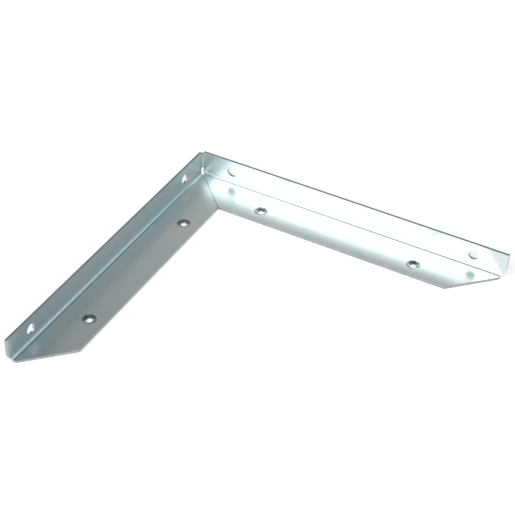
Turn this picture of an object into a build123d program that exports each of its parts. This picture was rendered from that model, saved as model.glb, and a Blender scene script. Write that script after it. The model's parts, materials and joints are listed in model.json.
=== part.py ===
from build123d import *
import math
import os

os.makedirs("parts", exist_ok=True)

# Corner bracket folded from one strip of steel sheet. All sizes in millimetres.
# The web lies flat on Z = 0 and the flanges stand up around its outside edge.
# The two arms are alike, so one half is built and mirrored across the mitre.

# Sheet and overall size
ARM_LENGTH = 250.0        # outside of the corner to the end of an arm
WEB_WIDTH = 34.5          # outside of the flange to the free edge of the web
FLANGE_HEIGHT = 21.0      # underside of the web to the top of the flange
SHEET = 2.0               # thickness of the sheet
FOLD_RADIUS = 2.0         # inside radius of the fold between web and flange
BEND_RADIUS = 0.8         # inside radius of the upright bend at the corner

# Plain holes in each flange, for screws into the wall or the shelf
FLANGE_HOLE_D = 8.0
FLANGE_HOLE_FIRST = 28.0  # outside of the corner to the first hole
FLANGE_HOLE_PITCH = 196.5
FLANGE_HOLE_Z = 11.5      # height above the underside of the web

# Countersunk holes in each web
WEB_HOLE_D = 4.5
WEB_HOLE_FIRST = 64.5
WEB_HOLE_PITCH = 123.5
WEB_HOLE_IN = 22.75       # outside of the flange to the hole
SINK_D = 10.0             # mouth of the countersink, on the inside of the web
SINK_LAND = 0.9           # straight land left under the countersink

# Ends of the arms
END_ROUND = 10.0          # radius on the lower corner of the flange
END_STEP = 3.6            # how far that rounding reaches back from the end
FOLD_CLEAR = 0.75         # flat web left between the fold and the 45 degree cut

# Corner
SEAM_GAP = 0.3            # gap left along the mitre between the two webs
SLOT_WIDTH = 2.2          # relief slot up the bend
SLOT_TOP = 7.0            # top of that slot
NOTCH_LENGTH = 3.0        # notch in the top edge, from the corner along each arm
NOTCH_DEPTH = 1.8

OVER = 5.0                # how far the cutting solids stand clear of the sheet

FOLD = SHEET + FOLD_RADIUS        # outside of the flange to the flat of the web
BEND = SHEET + BEND_RADIUS        # outside of the corner to the flat of a flange
CUT_START = FOLD + FOLD_CLEAR     # outside of the flange to the 45 degree cut
ARC_MIDDLE = math.radians(112.5)  # halfway round half a bend, from the mitre to the flange


def arm_section():
    """L section of an arm in the YZ plane, with the flange's outside on Y = 0."""
    outline = Polyline(
        (0, 0),
        (-WEB_WIDTH, 0),
        (-WEB_WIDTH, SHEET),
        (-SHEET, SHEET),
        (-SHEET, FLANGE_HEIGHT),
        (0, FLANGE_HEIGHT),
        close=True,
    )
    face = make_face(outline)
    outer = face.vertices().sort_by_distance((0, 0, 0))[0]
    face = fillet(outer, FOLD)
    inner = face.vertices().sort_by_distance((-SHEET, SHEET, 0))[0]
    return fillet(inner, FOLD_RADIUS)


def half_plan():
    """Outline of one arm seen from above, ending on the mitre line Y = -X."""
    start = BEND * (1 - math.sqrt(0.5))
    cut_x = ARM_LENGTH - END_STEP
    tip_x = cut_x - (WEB_WIDTH - CUT_START)
    arc = ThreePointArc(
        (start, -start),
        (BEND + BEND * math.cos(ARC_MIDDLE), -BEND + BEND * math.sin(ARC_MIDDLE)),
        (BEND, 0),
    )
    rest = Polyline(
        (BEND, 0),
        (ARM_LENGTH, 0),
        (ARM_LENGTH, -CUT_START),
        (cut_x, -CUT_START),
        (tip_x, -WEB_WIDTH),
        (WEB_WIDTH, -WEB_WIDTH),
        (start, -start),
    )
    return make_face(arc + rest)


def bend_inside():
    """Metal that rounds the inside of the upright bend, above the fold."""
    near = BEND - BEND_RADIUS * math.sqrt(0.5)
    arc = ThreePointArc(
        (near, -near),
        (BEND + BEND_RADIUS * math.cos(ARC_MIDDLE), -BEND + BEND_RADIUS * math.sin(ARC_MIDDLE)),
        (BEND, -SHEET),
    )
    sides = Polyline((BEND, -SHEET), (SHEET, -SHEET), (near, -near))
    return Pos(0, 0, FOLD) * extrude(make_face(arc + sides), FLANGE_HEIGHT - FOLD)


def corner_box(width, reach, low, high):
    """Upright block centred on the mitre line, from outside the corner inwards."""
    length = OVER + reach * math.sqrt(2)
    block = Box(length, width, high - low, align=(Align.MIN, Align.CENTER, Align.MIN))
    return Rot(0, 0, -45) * Pos(-OVER, 0, low) * block


def relief_slot():
    """Slot up the bend and in as far as the flat of the web, with a round top."""
    radius = SLOT_WIDTH / 2
    body = corner_box(SLOT_WIDTH, FOLD, -OVER, SLOT_TOP - radius)
    length = OVER + FOLD * math.sqrt(2)
    top = Rot(0, 90, 0) * Cylinder(radius, length, align=(Align.CENTER, Align.CENTER, Align.MIN))
    return body + Rot(0, 0, -45) * Pos(-OVER, 0, SLOT_TOP - radius) * top


def end_rounding():
    """Removes the lower corner of the flange at the end of the arm."""
    centre_x = ARM_LENGTH - END_ROUND
    drop = math.sqrt(END_ROUND**2 - (END_ROUND - END_STEP) ** 2)
    centre_z = SHEET + drop
    half_turn = math.atan2(drop, END_ROUND - END_STEP) / 2
    cut_x = ARM_LENGTH - END_STEP
    arc = ThreePointArc(
        (ARM_LENGTH, centre_z),
        (centre_x + END_ROUND * math.cos(half_turn), centre_z - END_ROUND * math.sin(half_turn)),
        (cut_x, SHEET),
    )
    rest = Polyline(
        (cut_x, SHEET),
        (cut_x, -OVER),
        (ARM_LENGTH + OVER, -OVER),
        (ARM_LENGTH + OVER, centre_z),
        (ARM_LENGTH, centre_z),
    )
    sketch = Plane.XZ * make_face(arc + rest)
    return Pos(0, OVER, 0) * extrude(sketch, OVER + CUT_START)


def half_bracket():
    arm = extrude(Plane.YZ * arm_section(), ARM_LENGTH)
    arm = arm & extrude(half_plan(), FLANGE_HEIGHT)
    arm = arm + bend_inside()

    # corner: relief slot, seam and top notch
    arm = arm - relief_slot()
    arm = arm - corner_box(SEAM_GAP, WEB_WIDTH + OVER, -OVER, FOLD)
    notch = Box(NOTCH_LENGTH, NOTCH_LENGTH, 2 * NOTCH_DEPTH, align=(Align.MIN, Align.MAX, Align.CENTER))
    arm = arm - Pos(0, 0, FLANGE_HEIGHT) * notch

    # end of the arm
    arm = arm - end_rounding()

    # holes
    for x in (FLANGE_HOLE_FIRST, FLANGE_HOLE_FIRST + FLANGE_HOLE_PITCH):
        drill = Cylinder(FLANGE_HOLE_D / 2, 2 * OVER)
        arm = arm - Pos(x, -SHEET / 2, FLANGE_HOLE_Z) * Rot(90, 0, 0) * drill
    for x in (WEB_HOLE_FIRST, WEB_HOLE_FIRST + WEB_HOLE_PITCH):
        arm = arm - Pos(x, -WEB_HOLE_IN, SHEET / 2) * Cylinder(WEB_HOLE_D / 2, 2 * OVER)
        upward = (Align.CENTER, Align.CENTER, Align.MIN)
        sink = Cone(WEB_HOLE_D / 2, SINK_D / 2, SHEET - SINK_LAND, align=upward)
        arm = arm - Pos(x, -WEB_HOLE_IN, SINK_LAND) * sink
    return arm


half = half_bracket()
mitre = Plane(origin=(0, 0, 0), z_dir=(1, 1, 0))
bracket = half + mirror(half, about=mitre)

# origin at the middle of the underside of the bounding box
bracket = Pos(-ARM_LENGTH / 2, ARM_LENGTH / 2, 0) * bracket

export_step(bracket, "parts/bracket.step")
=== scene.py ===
import json
import math

import bmesh
import bpy
from mathutils import Matrix, Vector

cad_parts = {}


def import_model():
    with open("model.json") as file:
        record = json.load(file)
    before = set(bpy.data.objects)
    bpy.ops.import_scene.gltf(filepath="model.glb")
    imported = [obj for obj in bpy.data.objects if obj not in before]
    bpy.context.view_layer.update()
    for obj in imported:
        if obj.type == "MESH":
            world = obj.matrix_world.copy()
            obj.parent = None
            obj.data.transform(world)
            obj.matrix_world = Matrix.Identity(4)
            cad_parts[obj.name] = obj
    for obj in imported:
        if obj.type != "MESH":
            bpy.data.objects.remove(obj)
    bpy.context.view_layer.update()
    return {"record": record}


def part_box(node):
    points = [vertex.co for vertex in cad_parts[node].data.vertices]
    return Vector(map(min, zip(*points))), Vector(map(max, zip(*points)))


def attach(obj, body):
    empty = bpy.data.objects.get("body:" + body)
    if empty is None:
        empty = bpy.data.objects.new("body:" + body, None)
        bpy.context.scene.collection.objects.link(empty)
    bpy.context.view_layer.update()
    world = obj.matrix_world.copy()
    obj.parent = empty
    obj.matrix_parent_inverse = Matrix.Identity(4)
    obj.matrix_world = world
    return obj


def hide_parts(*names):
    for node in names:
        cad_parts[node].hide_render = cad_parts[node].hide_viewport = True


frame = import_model()
bpy.ops.object.select_all(action="DESELECT")

MM = 0.001

# Places and overall size come from the frame
LOW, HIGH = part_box("bracket")
CORNER = Vector((LOW.x, HIGH.y, LOW.z))  # outside of the fold corner, on the underside
ARM_LENGTH = HIGH.x - LOW.x
FLANGE_HEIGHT = HIGH.z - LOW.z
MOUNTS = {mount["name"]: mount for mount in frame["record"]["mounts"]}

# The sheet and its folds
SHEET = 2.0 * MM
WEB_WIDTH = 34.5 * MM
FOLD_RADIUS = 2.0 * MM        # inside radius between web and flange
BEND_RADIUS = 0.8 * MM        # inside radius of the upright bend
FOLD = SHEET + FOLD_RADIUS    # outside of the flange to the flat of the web
BEND = SHEET + BEND_RADIUS    # outside of the corner to the flat of a flange
FOLD_STEPS = 10               # faces around a fold
BEND_SIDES = 48               # sides of the rods that shape the upright bend

# Ends of the arms
END_ROUND = 10.0 * MM         # radius of the flange's lower corner
END_STEP = 3.6 * MM           # how far the fold and the web stop short of the flange's end
END_SIDES = 128               # sides of the wheel that rounds the flange's lower corner
CUT_CLEAR = 0.75 * MM         # flat web left between the fold and the 45 degree cut
CUT_START = FOLD + CUT_CLEAR  # outside of the flange to the 45 degree cut

# Corner
MITRE = math.radians(45)
SEAM_GAP = 0.3 * MM
SLOT_WIDTH = 2.2 * MM
SLOT_TOP = 7.0 * MM           # height of the slot's round top
SLOT_SIDES = 24
NOTCH_LENGTH = 3.0 * MM       # longer than the bend, so the notch ends on a flat flange
NOTCH_DEPTH = 1.8 * MM

# Holes
HOLE_SIDES = 72
SINK_RADIUS = 5.0 * MM        # mouth of a countersink
SINK_LAND = 0.9 * MM          # straight land left under a countersink

# Edges
EDGE_ROUND = 0.1 * MM         # softness of a sheared edge
EDGE_STEPS = 2
EDGE_ANGLE = math.radians(35)    # edges that turn by more than this are softened
SMOOTH_ANGLE = math.radians(40)  # edges that turn by less than this are shaded smooth
FLAT_ANGLE = math.radians(0.5)   # faces that differ by less than this become one

# How far a cutting shape stands clear of the sheet, or only just passes it
OVER = 6.0 * MM
JUST_OVER = 0.01 * MM

# Distances under which points are merged: in the arm, its corner, the whole sheet, and the mirror
ARM_MERGE = 0.06 * MM
CORNER_MERGE = 0.04 * MM
SHEET_MERGE = 0.004 * MM
MIRROR_MERGE = 0.005 * MM

# How closely a picked face or edge has to match its place and direction
SAME_PLACE = 0.01 * MM
ON_MITRE = 0.05 * MM
ALIGNED = 0.9
DIAGONAL = 0.6

# Turns a rod from upright to lie across the arm
ACROSS = (math.radians(90), 0, 0)


# ---------------------------------------------------------------- materials

# Colours of the plate, its sheared edges and its countersinks, with painted light on the X arm, painted
# shade along the fold and painted shade in the countersinks
# pale zinc of the random patches, also used as painted light over the X arm
PALE_ZINC_AND_PAINTED_LIGHT = (0.73, 0.785, 0.775, 1)
COOL_ZINC = (0.67, 0.775, 0.80, 1)
# painted shade along the fold of the other arm
FOLD_PAINTED_SHADE = (0.61, 0.775, 0.84, 1)
CLOUD_ZINC = (0.66, 0.76, 0.79, 1)
GRAIN_ZINC = (0.58, 0.66, 0.68, 1)
SHEARED_DARK = (0.33, 0.35, 0.36, 1)
SHEARED_LIGHT = (0.48, 0.51, 0.52, 1)
# painted shade in the countersinks, and its lighter patches
SINK_PAINTED_SHADE = (0.20, 0.23, 0.25, 1)
SINK_PAINTED_SHADE_PALE = (0.48, 0.54, 0.57, 1)

# Share of a tint where it is strongest, painted light and painted shade included
# share of the painted light over the X arm
X_ARM_PAINTED_LIGHT = 0.85
# share of the painted shade along the fold
FOLD_SHADE_SHARE = 0.6
CLOUD_TINT = 0.3
GRAIN_TINT = 0.5

# Fineness of even marks, in marks per metre
PATCH_MARKS = 30.0
CLOUD_MARKS = 110.0
SHEARED_PATCH_MARKS = 60.0
FACET_MARKS = 330.0

# Fineness of drawn out marks, along the strip, across it and upwards
ROLLED_MARKS = (3.0, 30.0, 30.0)
GRAIN_MARKS = (500.0, 1500.0, 1500.0)
SHEAR_MARKS = (1500.0, 1500.0, 120.0)

# Least roughness of each finish
PLATE_ROUGHNESS = 0.255
SHEARED_ROUGHNESS = 0.3
PRESSED_ROUGHNESS = 0.26

# Height of the relief that a finish adds
PLATE_RELIEF = 0.05 * MM
SHEARED_RELIEF = 0.03 * MM
PRESSED_RELIEF = 0.25 * MM


class Socket:
    """A shader value that can be written in expressions."""

    def __init__(self, tree, output):
        self.tree = tree
        self.output = output

    def node(self, kind, settings=None, **values):
        made = self.tree.nodes.new(kind)
        for key, value in (settings or {}).items():
            setattr(made, key, value)
        for key, value in values.items():
            self.feed(made.inputs[key.replace("_", " ")], value)
        return made

    def feed(self, socket, value):
        if isinstance(value, Socket):
            self.tree.links.new(value.output, socket)
        else:
            socket.default_value = value

    def math(self, operation, *values):
        made = self.node("ShaderNodeMath", {"operation": operation})
        for socket, value in zip(made.inputs, values):
            self.feed(socket, value)
        return Socket(self.tree, made.outputs[0])

    def __add__(self, other):
        return self.math("ADD", self, other)

    def __radd__(self, other):
        return self.math("ADD", other, self)

    def __sub__(self, other):
        return self.math("SUBTRACT", self, other)

    def __rsub__(self, other):
        return self.math("SUBTRACT", other, self)

    def __mul__(self, other):
        return self.math("MULTIPLY", self, other)

    def __rmul__(self, other):
        return self.math("MULTIPLY", other, self)

    def ramp(self, low, high):
        """0 at low, 1 at high, smooth between."""
        made = self.node("ShaderNodeMapRange", {"interpolation_type": "SMOOTHSTEP"},
                         Value=self, From_Min=low, From_Max=high)
        return Socket(self.tree, made.outputs["Result"])


def empty_tree(owner):
    """The node tree of a new material or world, with nothing in it."""
    owner.use_nodes = True
    owner.node_tree.nodes.clear()
    return owner.node_tree


def position(tree, kind):
    """The texture coordinate of one kind, as a socket."""
    made = tree.nodes.new("ShaderNodeTexCoord")
    return Socket(tree, made.outputs[kind])


def show(tree, shader, kind="ShaderNodeOutputMaterial"):
    """Leads a shader to the surface output of a material or world."""
    output = tree.nodes.new(kind)
    tree.links.new(shader.outputs[0], output.inputs["Surface"])


def new_material(name):
    """An empty node material, and the socket of its position on the object."""
    material = bpy.data.materials.new(name)
    return material, position(empty_tree(material), "Object")


def axes(vector):
    split = vector.node("ShaderNodeSeparateXYZ", Vector=vector)
    return [Socket(vector.tree, output) for output in split.outputs]


def join(x, y, z):
    made = x.node("ShaderNodeCombineXYZ", X=x, Y=y, Z=z)
    return Socket(x.tree, made.outputs["Vector"])


def noise(vector, scale, detail=2.0, roughness=0.5):
    made = vector.node("ShaderNodeTexNoise", Vector=vector, Scale=scale, Detail=detail,
                       Roughness=roughness)
    return Socket(vector.tree, made.outputs["Fac"])


def drawn_out(strip, marks, detail=2.0, roughness=0.5):
    """Noise with its own fineness along the strip, across it and upwards."""
    scaled = [place * fineness for place, fineness in zip(strip, marks)]
    return noise(join(*scaled), 1.0, detail, roughness)


def mix_colour(factor, first, second):
    made = factor.node("ShaderNodeMix", {"data_type": "RGBA"})
    factor.feed(made.inputs[0], factor)
    factor.feed(made.inputs[6], first)
    factor.feed(made.inputs[7], second)
    return Socket(factor.tree, made.outputs[2])


def finish_metal(place, colour, roughness, height, relief):
    bump = place.node("ShaderNodeBump", Height=height, Distance=relief, Strength=1.0)
    shader = place.node("ShaderNodeBsdfPrincipled", Metallic=1.0, Base_Color=colour, Roughness=roughness,
                        Normal=Socket(place.tree, bump.outputs["Normal"]))
    show(place.tree, shader)


def along_strip(place):
    """Position as it was on the flat strip: along the arm, across it, and up."""
    x, y, z = axes(place)
    arm = (x + y).math("GREATER_THAN", x + y, 0.0)
    along = arm * x - (1 - arm) * y
    across = arm * y - (1 - arm) * x
    return along, across, z


def plated_sheet():
    """Bright zinc over smooth rolled sheet, with a slight blue passivation, painted light over the X arm
    and painted shade along the other arm's fold.
    """
    material, place = new_material("bright_zinc")
    strip = along_strip(place)
    along, across, up = strip
    patches = noise(place, PATCH_MARKS)
    clouds = noise(place, CLOUD_MARKS, detail=3.0)
    rolled = drawn_out(strip, ROLLED_MARKS)
    grain = drawn_out(strip, GRAIN_MARKS)
    # painted light: the X arm is painted paler, as if lit, and the other arm is pale in random patches
    x_arm = axes(place)[0].ramp(LOW.x + BEND, LOW.x + 2 * WEB_WIDTH)
    pale = patches.math("MAXIMUM", patches.ramp(0.4, 0.6), x_arm * X_ARM_PAINTED_LIGHT)
    colour = mix_colour(pale, COOL_ZINC, PALE_ZINC_AND_PAINTED_LIGHT)
    # painted shade in the crease: the other arm is bluer close to the fold, from a little way off the
    # corner
    from_fold = up.math("MAXIMUM", HIGH.y - across, up - LOW.z)
    from_corner = (along - LOW.x).ramp(0.25 * WEB_WIDTH, 1.5 * WEB_WIDTH)
    fold_shade = (1 - from_fold.ramp(1.5 * FOLD, 4 * FOLD)) * (1 - x_arm) * from_corner * FOLD_SHADE_SHARE
    colour = mix_colour(fold_shade, colour, FOLD_PAINTED_SHADE)
    colour = mix_colour(clouds.ramp(0.45, 0.8) * CLOUD_TINT, colour, CLOUD_ZINC)
    colour = mix_colour(grain.ramp(0.5, 0.75) * GRAIN_TINT, colour, GRAIN_ZINC)
    roughness = PLATE_ROUGHNESS + clouds * 0.06 + grain * 0.03
    finish_metal(place, colour, roughness, rolled * 0.6 + clouds * 0.08, PLATE_RELIEF)
    return material


def sheared_edge():
    """Cut edge of the plated sheet, with fine marks across its thickness."""
    material, place = new_material("sheared_zinc")
    marks = drawn_out(along_strip(place), SHEAR_MARKS, detail=3.0, roughness=0.6)
    patches = noise(place, SHEARED_PATCH_MARKS)
    colour = mix_colour(marks.ramp(0.3, 0.75), SHEARED_DARK, SHEARED_LIGHT)
    roughness = SHEARED_ROUGHNESS + marks * 0.12 + patches * 0.08
    finish_metal(place, colour, roughness, marks * 0.6, SHEARED_RELIEF)
    return material


def pressed_countersink():
    """Countersink pressed into the sheet, with painted shade over it, lighter in random patches."""
    material, place = new_material("countersink_painted_shade")
    facets = noise(place, FACET_MARKS, detail=1.0)
    # painted shade in the countersink, lighter where the noise is high
    colour = mix_colour(facets.ramp(0.42, 0.62), SINK_PAINTED_SHADE, SINK_PAINTED_SHADE_PALE)
    finish_metal(place, colour, PRESSED_ROUGHNESS + facets * 0.12, facets, PRESSED_RELIEF)
    return material


# ---------------------------------------------------------------- modelling

def only(piece):
    bpy.ops.object.select_all(action="DESELECT")
    piece.select_set(True)
    bpy.context.view_layer.objects.active = piece


def apply_place(piece):
    only(piece)
    bpy.ops.object.transform_apply(location=True, rotation=True, scale=True)


def block(low, high, turn=0.0, material=None):
    """A box between two corners, turned about the vertical through the origin."""
    low, high = Vector(low), Vector(high)
    bpy.ops.mesh.primitive_cube_add(size=1.0, location=(low + high) / 2, scale=high - low)
    piece = bpy.context.object
    apply_place(piece)
    if turn:
        piece.rotation_euler.z = turn
        apply_place(piece)
    if material:
        piece.data.materials.append(material)
    return piece


def rod(radius, length, centre, material, rotation=(0, 0, 0), sides=HOLE_SIDES):
    bpy.ops.mesh.primitive_cylinder_add(vertices=sides, radius=radius, depth=length,
                                        location=centre, rotation=rotation)
    piece = bpy.context.object
    apply_place(piece)
    piece.data.materials.append(material)
    return piece


def cone(low_radius, high_radius, low, high, centre, material):
    bpy.ops.mesh.primitive_cone_add(vertices=HOLE_SIDES, radius1=low_radius, radius2=high_radius,
                                    depth=high - low, location=(*centre, (low + high) / 2))
    piece = bpy.context.object
    apply_place(piece)
    piece.data.materials.append(material)
    return piece


def combine(piece, tool, operation):
    only(piece)
    change = piece.modifiers.new("shape", "BOOLEAN")
    change.operation = operation
    change.solver = "EXACT"
    change.material_mode = "TRANSFER"
    change.object = tool
    bpy.ops.object.modifier_apply(modifier=change.name)
    bpy.data.objects.remove(tool)


def cut(piece, tool):
    combine(piece, tool, "DIFFERENCE")


def pick(piece, kind, test):
    """Selects, in edit mode, the faces or edges whose middle and direction pass a test."""
    mesh = bmesh.from_edit_mesh(piece.data)
    bpy.ops.mesh.select_all(action="DESELECT")
    bpy.ops.mesh.select_mode(type=kind)
    items = mesh.faces if kind == "FACE" else mesh.edges
    for item in items:
        middle = sum((v.co for v in item.verts), Vector()) / len(item.verts)
        direction = item.normal if kind == "FACE" else (item.verts[1].co - item.verts[0].co).normalized()
        item.select_set(test(middle, direction))
    mesh.select_flush_mode()
    bmesh.update_edit_mesh(piece.data)


def near(a, b):
    return abs(a - b) < SAME_PLACE


def runs_along_arm(at, way, y, z):
    """Whether an edge lies along the arm, at this place across it and this height."""
    return abs(way.x) > ALIGNED and near(at.y, y) and near(at.z, z)


def angle_bar(plate, edge):
    """One arm as a straight length of folded angle, with the corner at the origin."""
    bar = block((0, -WEB_WIDTH, 0), (ARM_LENGTH, 0, SHEET), material=plate)
    bar.data.materials.append(edge)
    only(bar)
    bpy.ops.object.mode_set(mode="EDIT")
    bpy.ops.mesh.select_all(action="SELECT")
    bpy.ops.mesh.bisect(plane_co=(0, -SHEET, 0), plane_no=(0, 1, 0))
    # the flange grows out of the outside strip of the web
    pick(bar, "FACE", lambda at, way: way.z > ALIGNED and at.y > -SHEET)
    bpy.ops.mesh.extrude_region_move(TRANSFORM_OT_translate={"value": (0, 0, FLANGE_HEIGHT - SHEET)})
    bpy.ops.mesh.select_all(action="SELECT")
    bpy.ops.mesh.dissolve_limited(angle_limit=FLAT_ANGLE)
    # outside and inside of the fold
    pick(bar, "EDGE", lambda at, way: runs_along_arm(at, way, 0, 0))
    bpy.ops.mesh.bevel(offset=FOLD, segments=FOLD_STEPS, profile=0.5)
    pick(bar, "EDGE", lambda at, way: runs_along_arm(at, way, -SHEET, SHEET))
    bpy.ops.mesh.bevel(offset=FOLD_RADIUS, segments=FOLD_STEPS, profile=0.5)
    bpy.ops.object.mode_set(mode="OBJECT")
    for face in bar.data.polygons:
        at = face.center
        sheared = face.normal.x > ALIGNED or near(at.z, FLANGE_HEIGHT) or near(at.y, -WEB_WIDTH)
        face.material_index = 1 if sheared else 0
    return bar


def cut_mitre(bar):
    """Takes off everything past the line Y = -X, where X + Y is below zero."""
    only(bar)
    bpy.ops.object.mode_set(mode="EDIT")
    bpy.ops.mesh.select_all(action="SELECT")
    bpy.ops.mesh.bisect(plane_co=(0, 0, 0), plane_no=(1, 1, 0), use_fill=True, clear_inner=True)
    bpy.ops.object.mode_set(mode="OBJECT")


def cut_end(bar, edge):
    """Rounds the flange's lower corner, and cuts the web square and then slanted."""
    cut_x = ARM_LENGTH - END_STEP
    past_end = ARM_LENGTH + OVER
    drop = math.sqrt(END_ROUND**2 - (END_ROUND - END_STEP) ** 2)
    centre_z = SHEET + drop
    # lower corner of the flange
    tool = block((cut_x, -CUT_START, -OVER), (past_end, OVER, centre_z), material=edge)
    wheel = rod(END_ROUND, 4 * OVER, (ARM_LENGTH - END_ROUND, 0, centre_z), edge, ACROSS, END_SIDES)
    foot = block((ARM_LENGTH - 3 * END_ROUND, -3 * OVER, -3 * OVER), (past_end, 3 * OVER, SHEET),
                 material=edge)
    cut(wheel, foot)
    cut(tool, wheel)
    cut(bar, tool)
    # square step, then the slanted end of the web
    cut(bar, block((cut_x, -WEB_WIDTH - OVER, -OVER), (past_end, -CUT_START, OVER), material=edge))
    line = (cut_x + CUT_START) / math.sqrt(2)  # distance of the slanted line from the origin
    past_line = line + WEB_WIDTH * 3
    cut(bar, block((line, -2 * ARM_LENGTH, -OVER), (past_line, 2 * ARM_LENGTH, SHEET + JUST_OVER),
                   -MITRE, edge))


def shape_corner(bar, plate, edge):
    """Upright bend, relief slot, top notch and seam, on the half that ends at the mitre."""
    above = FLANGE_HEIGHT + OVER
    slot_radius = SLOT_WIDTH / 2
    slot_middle = SLOT_TOP - slot_radius
    bend_centre = (BEND, -BEND, 0)
    bend_length = 3 * FLANGE_HEIGHT
    # outside of the upright bend
    tool = block((-OVER, -BEND, -OVER), (BEND, OVER, above), material=plate)
    cut(tool, rod(BEND, bend_length, bend_centre, plate, sides=BEND_SIDES))
    cut(bar, tool)
    # inside of the upright bend
    tool = block((SHEET / 2, -BEND, slot_middle), (BEND, -SHEET / 2, FLANGE_HEIGHT - NOTCH_DEPTH / 2),
                 material=plate)
    cut(tool, rod(BEND_RADIUS, bend_length, bend_centre, plate, sides=BEND_SIDES))
    cut_mitre(tool)
    combine(bar, tool, "UNION")
    # relief slot
    reach = FOLD * math.sqrt(2)
    cut(bar, block((-OVER, -slot_radius, -OVER), (reach, slot_radius, slot_middle), -MITRE, edge))
    middle = Vector((math.cos(-MITRE), math.sin(-MITRE), 0)) * (reach - OVER) / 2
    middle.z = slot_middle
    cut(bar, rod(slot_radius, reach + OVER, middle, edge, (math.radians(90), 0, MITRE), SLOT_SIDES))
    # notch in the top edge, and the seam between the webs
    cut(bar, block((-OVER, -NOTCH_LENGTH, FLANGE_HEIGHT - NOTCH_DEPTH), (NOTCH_LENGTH, OVER, above),
                   material=edge))
    seam_end = (WEB_WIDTH + OVER) * math.sqrt(2)
    cut(bar, block((reach / 2, -SEAM_GAP / 2, -OVER), (seam_end, SEAM_GAP / 2, OVER), -MITRE, edge))


def hole_places(name):
    """The two holes of a mount, measured along the arm from the outside of the corner."""
    mount = MOUNTS[name]
    dims = mount["dims"]
    middle = mount["pos_m"][0] - CORNER.x
    half = dims["spacing_x_mm"] * MM / 2
    return (middle - half, middle + half), dims["hole_r_mm"] * MM


def drill(bar, edge, pressed):
    """Plain holes through the flange, and countersunk holes through the web."""
    places, radius = hole_places("flange_holes_x")
    height = MOUNTS["flange_holes_x"]["pos_m"][2] - CORNER.z
    for x in places:
        cut(bar, rod(radius, 2 * OVER, (x, -SHEET / 2, height), edge, ACROSS))
    places, radius = hole_places("web_holes_x")
    y = MOUNTS["web_holes_x"]["pos_m"][1] - CORNER.y
    # the countersink carries on at its own slope until it clears the sheet
    top = 2 * SHEET - SINK_LAND
    for x in places:
        cut(bar, rod(radius, 2 * OVER, (x, y, 0), edge))
        cut(bar, cone(radius, 2 * SINK_RADIUS - radius, SINK_LAND, top, (x, y), pressed))


def faces_mitre(at, way):
    return way.x < -DIAGONAL and way.y < -DIAGONAL and abs(at.x + at.y) < ON_MITRE


def mirror_arm(bar):
    """Adds the second arm and joins the two across the mitre."""
    only(bar)
    bpy.ops.object.mode_set(mode="EDIT")
    pick(bar, "FACE", faces_mitre)
    bpy.ops.mesh.delete(type="FACE")
    bpy.ops.object.mode_set(mode="OBJECT")
    bpy.ops.object.empty_add(rotation=(0, 0, MITRE))
    plane = bpy.context.object
    only(bar)
    change = bar.modifiers.new("second arm", "MIRROR")
    change.mirror_object = plane
    change.use_mirror_merge = True
    change.merge_threshold = MIRROR_MERGE
    bpy.ops.object.modifier_apply(modifier=change.name)
    bpy.data.objects.remove(plane)


def tidy(piece, gap):
    """Merges what lies closer than the gap, and dissolves what is flat."""
    only(piece)
    bpy.ops.object.mode_set(mode="EDIT")
    bpy.ops.mesh.select_all(action="SELECT")
    bpy.ops.mesh.remove_doubles(threshold=gap)
    bpy.ops.mesh.dissolve_limited(angle_limit=FLAT_ANGLE, delimit={"MATERIAL"})
    bpy.ops.mesh.select_all(action="SELECT")
    bpy.ops.mesh.normals_make_consistent(inside=False)
    bpy.ops.object.mode_set(mode="OBJECT")


def soften(piece):
    """Rounds every sheared edge a little."""
    only(piece)
    change = piece.modifiers.new("edges", "BEVEL")
    change.width = EDGE_ROUND
    change.segments = EDGE_STEPS
    change.limit_method = "ANGLE"
    change.angle_limit = EDGE_ANGLE
    change.use_clamp_overlap = False
    bpy.ops.object.modifier_apply(modifier=change.name)
    bpy.ops.object.shade_smooth_by_angle(angle=SMOOTH_ANGLE)
    change = piece.modifiers.new("flat faces stay flat", "WEIGHTED_NORMAL")
    change.keep_sharp = True
    bpy.ops.object.modifier_apply(modifier=change.name)


def folded_sheet():
    """The whole bracket: one arm is shaped up to the mitre, then mirrored."""
    plate = plated_sheet()
    edge = sheared_edge()
    pressed = pressed_countersink()
    sheet = angle_bar(plate, edge)
    sheet.name = "folded_sheet"
    cut_mitre(sheet)
    cut_end(sheet, edge)
    tidy(sheet, ARM_MERGE)
    shape_corner(sheet, plate, edge)
    tidy(sheet, CORNER_MERGE)
    drill(sheet, edge, pressed)
    mirror_arm(sheet)
    tidy(sheet, SHEET_MERGE)
    soften(sheet)
    sheet.location = CORNER
    apply_place(sheet)
    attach(sheet, "root")
    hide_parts("bracket")


# ---------------------------------------------------------------- studio

FLOOR_SIZE = 12.0
FLOOR_TONE = (0.6, 0.6, 0.6, 1)
FLOOR_ROUGHNESS = 0.9
FLOOR_GLOW = 0.6               # what the camera and reflections see on top of the lit floor

# Lamp: where it stands, seen from the corner of the bracket, and how large and bright it is
LAMP_DIRECTION = Vector((-0.40, -0.72, 0.57))
LAMP_DISTANCE = 1.6
LAMP_WIDTH = 2.6
LAMP_HEIGHT = 1.1
LAMP_RADIANCE = 2.6

# Light of the room: its walls, how much is lost at the back and overhead, and the surround
ROOM_LIGHT = 0.63
BACK_LOSS = 0.54
OVERHEAD_LOSS = 0.28
SURROUND_LIGHT = 0.85

# Where these zones start and are full, by how far a direction points to the back or up
BACK = (0.2, 0.4)
BACK_HEIGHT = (0.62, 0.71)
OVERHEAD = (0.8, 0.9)
ABOVE_SURROUND = (0.2, 0.45)

CAMERA_AZIMUTH = math.radians(27.34)
CAMERA_ELEVATION = math.radians(38.8)
CAMERA_ROLL = math.radians(2.07)
CAMERA_AIM = CORNER + Vector((88.6, -72.2, 2.0)) * MM
CAMERA_DISTANCE = 1.0121
LENS = 99.2                    # in millimetres, as the camera wants it, and so is the sensor
SENSOR = 36.0
VIEW_END = 50.0


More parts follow.
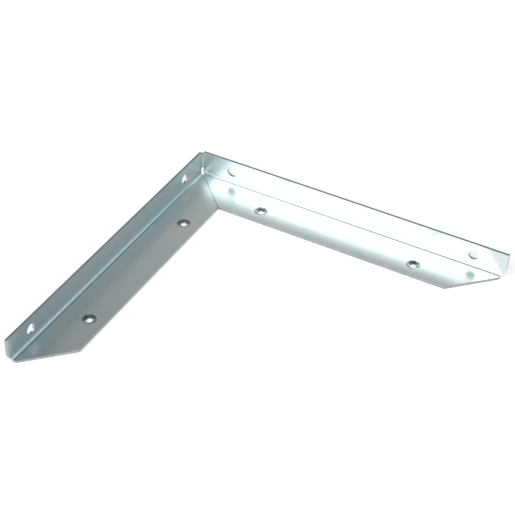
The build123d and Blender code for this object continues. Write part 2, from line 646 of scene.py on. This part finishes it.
def floor():
    """A pale floor that looks white and still takes the bracket's shadow."""
    bpy.ops.mesh.primitive_plane_add(size=FLOOR_SIZE, location=(0, 0, LOW.z))
    ground = bpy.context.object
    ground.name = "floor"
    material = bpy.data.materials.new("white_floor")
    tree = empty_tree(material)
    path = tree.nodes.new("ShaderNodeLightPath")
    seen = Socket(tree, path.outputs["Is Camera Ray"])
    for kind in ("Is Glossy Ray", "Is Transmission Ray"):
        seen = seen.math("MAXIMUM", seen, Socket(tree, path.outputs[kind]))
    shader = seen.node("ShaderNodeBsdfPrincipled", Base_Color=FLOOR_TONE, Roughness=FLOOR_ROUGHNESS,
                       Specular_IOR_Level=0.0, Emission_Color=(1, 1, 1, 1),
                       Emission_Strength=seen * FLOOR_GLOW)
    show(tree, shader)
    ground.data.materials.append(material)


def softbox():
    """A lamp that glows evenly; its power follows from how bright it looks."""
    lamp = bpy.data.lights.new("key", "AREA")
    lamp.shape = "RECTANGLE"
    lamp.size = LAMP_WIDTH
    lamp.size_y = LAMP_HEIGHT
    lamp.energy = LAMP_RADIANCE * math.pi * LAMP_WIDTH * LAMP_HEIGHT
    holder = bpy.data.objects.new("key", lamp)
    bpy.context.scene.collection.objects.link(holder)
    direction = LAMP_DIRECTION.normalized()
    holder.location = CORNER + direction * LAMP_DISTANCE
    holder.rotation_euler = direction.to_track_quat("Z", "Y").to_euler()


def world():
    """A grey room over a paler surround, dimmer overhead and dark high up at the back."""
    room = bpy.data.worlds.new("room")
    tree = empty_tree(room)
    north, up = axes(position(tree, "Generated"))[1:]
    back_high = north.ramp(*BACK) * up.ramp(*BACK_HEIGHT)
    overhead = (1 - back_high) * up.ramp(*OVERHEAD)
    light = ROOM_LIGHT - back_high * BACK_LOSS - overhead * OVERHEAD_LOSS
    low = 1 - up.ramp(*ABOVE_SURROUND)
    light = light + low * (SURROUND_LIGHT - light)
    background = up.node("ShaderNodeBackground", Color=join(light, light, light), Strength=1.0)
    show(tree, background, "ShaderNodeOutputWorld")
    bpy.context.scene.world = room


def camera():
    back = Vector((math.sin(CAMERA_AZIMUTH) * math.cos(CAMERA_ELEVATION),
                   -math.cos(CAMERA_AZIMUTH) * math.cos(CAMERA_ELEVATION),
                   math.sin(CAMERA_ELEVATION)))
    lens = bpy.data.cameras.new("camera")
    lens.lens = LENS
    lens.sensor_width = SENSOR
    lens.clip_end = VIEW_END
    holder = bpy.data.objects.new("camera", lens)
    bpy.context.scene.collection.objects.link(holder)
    turn = back.to_track_quat("Z", "Y").to_matrix() @ Matrix.Rotation(CAMERA_ROLL, 3, "Z")
    holder.matrix_world = Matrix.Translation(CAMERA_AIM + back * CAMERA_DISTANCE) @ turn.to_4x4()
    bpy.context.scene.camera = holder


folded_sheet()
floor()
softbox()
world()
camera()
bpy.context.scene.view_settings.view_transform = "Standard"
